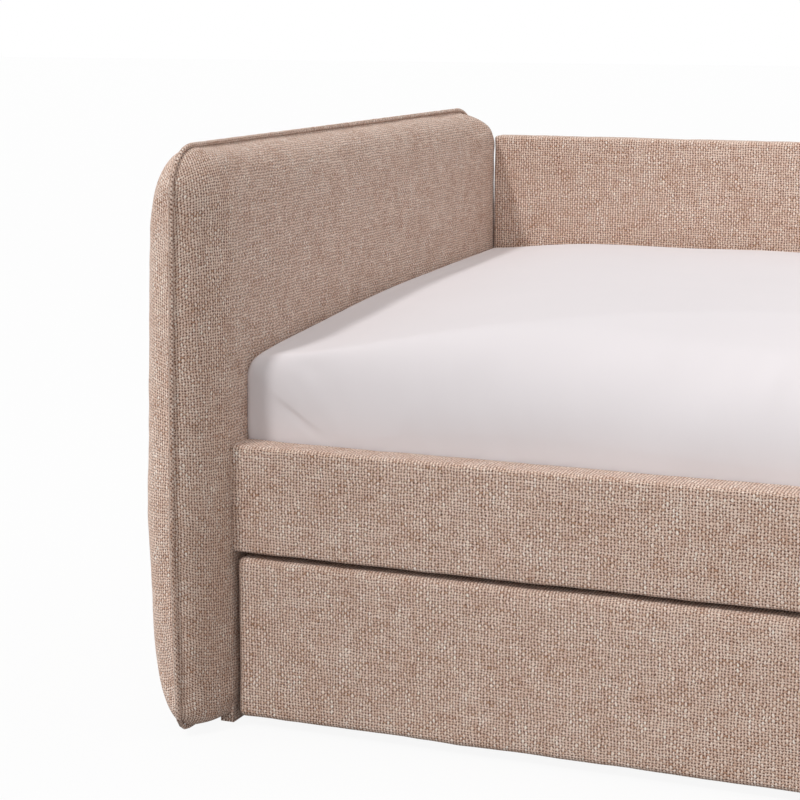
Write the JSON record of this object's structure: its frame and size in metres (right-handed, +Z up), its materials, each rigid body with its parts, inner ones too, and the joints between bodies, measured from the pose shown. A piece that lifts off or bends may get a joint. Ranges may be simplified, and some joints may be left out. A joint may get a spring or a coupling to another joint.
{
  "type": "upholstered trundle daybed",
  "caption": "Upholstered daybed with welted pillow arms, a low back panel and a mattress on slats, over an upholstered trundle that rolls out on fixed casters.",
  "frame": {"origin": "on the floor, under the middle of the bounding box", "axes": "+X along the length from the left arm to the right arm, -Y towards the front where the trundle rolls out, +Z up"},
  "size_m": [2.1402, 1.1852, 0.812],
  "materials": {
    "tweed": "chunky plain weave in rose beige with cream and brown flecks",
    "tweed_welt": "the same tweed cut on the bias round a piping cord",
    "white_cotton": "smooth white cotton sheeting",
    "mattress_ticking": "knitted off-white ticking",
    "frame_pine": "planed pine, unfinished",
    "slat_pine": "planed pine slats with softened edges",
    "hardboard": "smooth brown hardboard",
    "webbing": "woven polyester tape",
    "painted_steel": "satin black powder coat on pressed steel",
    "zinc_steel": "bright zinc-plated steel",
    "wheel_nylon": "moulded black nylon",
    "wheel_tread": "soft grey tread",
    "glide_plastic": "brown moulded plastic"
  },
  "bodies": {
    "daybed": {"arm_left_frame": "frame_pine", "arm_left_inner_lining": "hardboard", "arm_left_inner_pad": "tweed", "arm_left_outer_lining": "hardboard", "arm_left_outer_pad": "tweed", "arm_left_side_board": "tweed", "arm_left_welt": "tweed_welt", "arm_right_frame": "frame_pine", "arm_right_inner_lining": "hardboard", "arm_right_inner_pad": "tweed", "arm_right_outer_lining": "hardboard", "arm_right_outer_pad": "tweed", "arm_right_side_board": "tweed", "arm_right_welt": "tweed_welt", "back_panel_cover": "tweed", "back_panel_frame": "frame_pine", "back_panel_front_lining": "hardboard", "back_panel_rear_lining": "hardboard", "bed_slats": "slat_pine", "bolt_inserts": "zinc_steel", "bracket_bolts": "zinc_steel", "bracket_screws": "zinc_steel", "cleat_screws": "zinc_steel", "corner_brackets": "painted_steel", "floor_glides": "glide_plastic", "front_cleat": "frame_pine", "front_rail_core": "frame_pine", "front_rail_cover": "tweed", "rear_cleat": "frame_pine", "slat_straps": "webbing"},
    "mattress": {"mattress": "mattress_ticking", "fitted_sheet": "white_cotton"},
    "trundle": {"caster_axles": "zinc_steel", "caster_forks": "painted_steel", "caster_screws": "zinc_steel", "trundle_centre_beam": "frame_pine", "trundle_corner_blocks": "frame_pine", "trundle_end_rail_left": "frame_pine", "trundle_end_rail_right": "frame_pine", "trundle_front_core": "frame_pine", "trundle_front_cover": "tweed", "trundle_front_ledger": "frame_pine", "trundle_rear_rail": "frame_pine", "trundle_slats": "slat_pine"},
    "wheel_front_left": {"caster_wheel_front_left": "wheel_nylon", "caster_tread_front_left": "wheel_tread"},
    "wheel_rear_left": {"caster_wheel_rear_left": "wheel_nylon", "caster_tread_rear_left": "wheel_tread"},
    "wheel_front_right": {"caster_wheel_front_right": "wheel_nylon", "caster_tread_front_right": "wheel_tread"},
    "wheel_rear_right": {"caster_wheel_rear_right": "wheel_nylon", "caster_tread_rear_right": "wheel_tread"}
  },
  "joints": [
    {"name": "mattress_lift", "type": "slide", "parent": "daybed", "child": "mattress", "axis": [0, 0, 1], "range_m": [0, 0.6]},
    {"name": "trundle_slide", "type": "slide", "parent": "daybed", "child": "trundle", "axis": [0, -1, 0], "range_m": [0, 1.15]},
    {"name": "wheel_front_left_spin", "type": "hinge", "parent": "trundle", "child": "wheel_front_left", "pos_m": [-0.895, -0.385, 0.025], "axis": [1, 0, 0], "continuous": true},
    {"name": "wheel_rear_left_spin", "type": "hinge", "parent": "trundle", "child": "wheel_rear_left", "pos_m": [-0.895, 0.48, 0.025], "axis": [1, 0, 0], "continuous": true},
    {"name": "wheel_front_right_spin", "type": "hinge", "parent": "trundle", "child": "wheel_front_right", "pos_m": [0.895, -0.385, 0.025], "axis": [1, 0, 0], "continuous": true},
    {"name": "wheel_rear_right_spin", "type": "hinge", "parent": "trundle", "child": "wheel_rear_right", "pos_m": [0.895, 0.48, 0.025], "axis": [1, 0, 0], "continuous": true}
  ],
  "couplings": [
    {"joint": "wheel_front_left_spin", "follows": "trundle_slide", "rad_per_m": 40},
    {"joint": "wheel_rear_left_spin", "follows": "trundle_slide", "rad_per_m": 40},
    {"joint": "wheel_front_right_spin", "follows": "trundle_slide", "rad_per_m": 40},
    {"joint": "wheel_rear_right_spin", "follows": "trundle_slide", "rad_per_m": 40}
  ]
}
